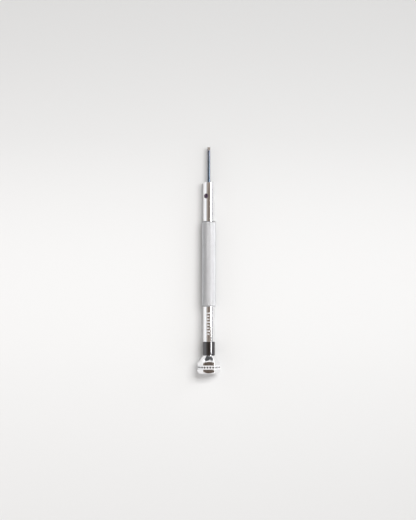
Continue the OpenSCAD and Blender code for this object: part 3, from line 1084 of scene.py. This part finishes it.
class SCREWDRIVER_OT_bearing(bpy.types.Operator):
    """Make the rings, shields, cage and balls of the bearing"""

    bl_idname = "screwdriver.bearing"
    bl_label = "Ball bearing"

    def race(self, radius, outer):
        """The round groove that the balls roll in, cut by a land on either side."""
        land = abs(radius - BALL_CIRCLE)
        groove = BALL_RADIUS + bpy.context.scene.bearing_sizes.race_play
        half = math.degrees(math.acos(land / groove))
        middle = 90 if outer else 270
        direction = -1 if outer else 1
        return curve((BALL_X, BALL_CIRCLE), groove, middle + direction * half,
                     middle - direction * half, 16)

    def execute(self, context):
        sizes = context.scene.bearing_sizes
        finishes = context.scene.finishes
        steel = turned_metal("bearing_steel", finishes.bearing, (0.08, 0.16))
        polished = rough_finish("ball_steel", finishes.bearing, 1.0, (0.03, 0.06), 9000, 1e-8)
        nylon = rough_finish("cage_nylon", finishes.nylon, 0.0, (0.45, 0.6), 7000, 2e-6)
        axle = context.scene.head_sizes.axle_radius
        edge = 0.04 * MM
        land = sizes.land_radius
        seat = land + sizes.seat
        inner_start, inner_end, inner_land = span("bearing_inner_ring")
        inner = lathe("inner_ring", [
            (inner_start, axle, edge), (inner_end, axle, edge), (inner_end, inner_land, edge),
            *reversed(self.race(inner_land, False)), (inner_start, inner_land, edge),
        ], [steel])
        finish_piece(smooth(inner), "handle", "bearing_steel", "bearing_inner_ring")
        step = 2 * sizes.shield
        outer = lathe("outer_ring", [
            (BEARING_START_X, BEARING_RADIUS, edge), (BEARING_START_X, seat, 0.0),
            (BEARING_START_X + step, seat, 0.0), (BEARING_START_X + step, land, 0.02 * MM),
            *self.race(land, True),
            (BEARING_END_X - step, land, 0.02 * MM), (BEARING_END_X - step, seat, 0.0),
            (BEARING_END_X, seat, 0.0), (BEARING_END_X, BEARING_RADIUS, edge),
        ], [steel])
        finish_piece(smooth(outer), "head", "bearing_steel", "bearing_outer_ring")
        inside = INNER_RING_RADIUS + sizes.shield_play
        for node in ("front_shield", "rear_shield"):
            start, end, radius = span(node)
            shield = lathe(node + "_steel", [
                (start, inside, 0.02 * MM), (start, radius, 0.02 * MM),
                (end, radius, 0.02 * MM), (end, inside, 0.02 * MM),
            ], [steel])
            finish_piece(smooth(shield), "head", "bearing_steel", node)
        cage_start, cage_end, cage_radius = span("ball_cage")
        cage_inside = INNER_RING_RADIUS + sizes.cage_gap
        cage = lathe("crown_cage", [
            (cage_start, cage_inside, 0.03 * MM), (cage_start, cage_radius, 0.03 * MM),
            (cage_end, cage_radius, 0.05 * MM), (cage_end, cage_inside, 0.05 * MM),
        ], [nylon], segments=168)
        balls = [node for node in frame["nodes"] if node + "_spin" in JOINTS]
        cut(cage, grow(
            "pocket_cutter", pocket_tree(), Count=len(balls), Circle=BALL_CIRCLE,
            Station=BALL_X, Radius=BALL_RADIUS + sizes.pocket_play, Height=AXIS_Z,
            Material=nylon))
        finish_piece(smooth(cage), "cage", "cage_nylon", "ball_cage")
        for node in sorted(balls):
            centre = JOINTS[node + "_spin"]["pos_m"]
            ball = lathe(node + "_steel", curve((0.0, 0.0), BALL_RADIUS, 180, 0, 32),
                         [polished], Matrix.Translation(centre), 64)
            finish_piece(smooth(ball, 60), node, "ball_steel", node)
        return {"FINISHED"}


class SCREWDRIVER_OT_stage(bpy.types.Operator):
    """Lay out the bench, the soft lights, the room and the camera"""

    bl_idname = "screwdriver.stage"
    bl_label = "Studio"

    def bench(self, context):
        """The tool lies on the front edge of a flat and on the front edge of its grip."""
        handle = context.scene.handle_sizes
        head = context.scene.head_sizes
        heel = HEAD_START_X + head.hex_length - head.end_edge * math.tan(head.chamfer)
        toe = NOSE_X - handle.nose_length - context.scene.knurl_sizes.edge
        slope = math.atan2(AXIS_Z - GRIP_RADIUS, toe - heel)
        reach = 3.0
        clear = 0.01 * MM
        bm = bmesh.new()
        bmesh.ops.create_grid(bm, x_segments=1, y_segments=1, size=reach)
        bmesh.ops.transform(bm, matrix=Matrix.Translation((heel, 0, -clear))
                            @ Matrix.Rotation(-slope, 4, "Y"), verts=bm.verts)
        floor = close_mesh("bench", bm, [bench_finish(context.scene.finishes.floor)])
        return slope

    def room(self, context):
        """Soft light from all sides, with a dim, warm ceiling."""
        world = bpy.data.worlds.new("studio_room")
        world.use_nodes = True
        tree = world.node_tree
        direction = add(tree, "ShaderNodeTexCoord").outputs["Generated"]
        along, across, up = split(tree, direction)
        walls_to_ceiling = ramp(tree, up.limit(0.0, 1.0), (
            (0.00, (0.80, 0.81, 0.83)), (0.30, (0.76, 0.77, 0.79)), (0.58, (0.60, 0.60, 0.61)),
            (0.80, (0.31, 0.275, 0.25)), (0.985, (0.21, 0.18, 0.155)),
            (1.00, (0.085, 0.066, 0.055))))
        dim_side = across.spread(-0.95, -0.82, 0.45, 1.0)
        dim_end = (along.spread(0.60, 0.70, 0.0, 1.0) * along.spread(0.945, 0.97, 1.0, 0.5)
                   * up.spread(0.04, 0.12, 0.0, 1.0) * up.spread(0.57, 0.66, 1.0, 0.0))
        dim_rear = along.spread(-0.95, -0.55, 0.5, 1.0)
        bright_ends = (along.do("ABSOLUTE").spread(0.20, 0.55, 0.0, 1.0)
                       * across.spread(-0.5, 0.5, 1.0, 0.45))
        strength = (dim_side * dim_rear * (dim_end * -0.93 + 1.0)
                    * (bright_ends * 0.8 + 1.0) * context.scene.studio.room_power)
        background = tree.nodes["Background"]
        plug(tree, background.inputs, (walls_to_ceiling.outputs[0], strength))
        context.scene.world = world

    def light(self, context, name):
        """A soft light at one side of the tool, with the studio's sizes of that name."""
        studio = context.scene.studio
        lamp = bpy.data.lights.new(name, "AREA")
        lamp.shape = "RECTANGLE"
        lamp.size = getattr(studio, name + "_length")
        lamp.size_y = getattr(studio, name + "_width")
        lamp.energy = getattr(studio, name + "_power")
        lamp.cycles.max_bounces = 1
        light = bpy.data.objects.new(name, lamp)
        context.scene.collection.objects.link(light)
        light.matrix_world = (
            Matrix.Rotation(getattr(studio, name + "_turn"), 4, "Y")
            @ Matrix.Rotation(getattr(studio, name + "_tilt"), 4, "X")
            @ Matrix.Translation((0, 0, studio.light_distance)))
        return light

    def execute(self, context):
        studio = context.scene.studio
        slope = self.bench(context)
        self.room(context)
        upright = Matrix.Rotation(-slope, 4, "Y")
        target = Vector((studio.look_x, studio.look_y, AXIS_Z))

        lens_data = bpy.data.cameras.new("camera")
        camera = bpy.data.objects.new("camera", lens_data)
        context.scene.collection.objects.link(camera)
        lens_data.lens = lens_data.sensor_width * studio.camera_height / studio.frame_length
        lens_data.clip_start = 0.05
        lens_data.clip_end = 10.0
        towards_tip = Matrix.Rotation(math.radians(-90), 4, "Z")
        camera.matrix_world = (Matrix.Translation(target) @ upright @ towards_tip
                               @ Matrix.Translation((0, 0, studio.camera_height)))
        context.scene.camera = camera

        self.light(context, "panel").visible_diffuse = False
        self.light(context, "sky").visible_glossy = False
        context.scene.view_settings.view_transform = "Standard"
        return {"FINISHED"}


class SCREWDRIVER_PT_sidebar(bpy.types.Panel):
    """Lists the pieces of the screwdriver"""

    bl_idname = "SCREWDRIVER_PT_sidebar"
    bl_label = "Watchmaker's screwdriver"
    bl_space_type = "VIEW_3D"
    bl_region_type = "UI"
    bl_category = "Screwdriver"

    def draw(self, context):
        for operator in OPERATORS:
            self.layout.operator(operator.bl_idname)
        for name in GROUPS:
            group = getattr(context.scene, name)
            box = self.layout.box()
            box.label(text=name.replace("_", " ").capitalize())
            for prop in group.__annotations__:
                box.prop(group, prop)


GROUPS = {
    "handle_sizes": HandleSizes, "knurl_sizes": KnurlSizes, "mark_sizes": MarkSizes,
    "blade_sizes": BladeSizes, "head_sizes": HeadSizes, "bearing_sizes": BearingSizes,
    "finishes": Finishes, "studio": Studio,
}
OPERATORS = (
    SCREWDRIVER_OT_handle, SCREWDRIVER_OT_knurl, SCREWDRIVER_OT_blade,
    SCREWDRIVER_OT_grub_screw, SCREWDRIVER_OT_size_ring, SCREWDRIVER_OT_head,
    SCREWDRIVER_OT_finger_cap, SCREWDRIVER_OT_axle, SCREWDRIVER_OT_bearing,
    SCREWDRIVER_OT_stage,
)
CLASSES = (*GROUPS.values(), *OPERATORS, SCREWDRIVER_PT_sidebar)


def register():
    for item in CLASSES:
        bpy.utils.register_class(item)
    for name, group in GROUPS.items():
        setattr(bpy.types.Scene, name, PointerProperty(type=group))


def unregister():
    for name in GROUPS:
        delattr(bpy.types.Scene, name)
    for item in reversed(CLASSES):
        bpy.utils.unregister_class(item)


def main():
    register()
    bpy.ops.screwdriver.handle()
    bpy.ops.screwdriver.knurl()
    bpy.ops.screwdriver.blade()
    bpy.ops.screwdriver.grub_screw()
    bpy.ops.screwdriver.size_ring()
    bpy.ops.screwdriver.head()
    bpy.ops.screwdriver.finger_cap()
    bpy.ops.screwdriver.axle()
    bpy.ops.screwdriver.bearing()
    bpy.ops.screwdriver.stage()


if __name__ == "__main__":
    main()
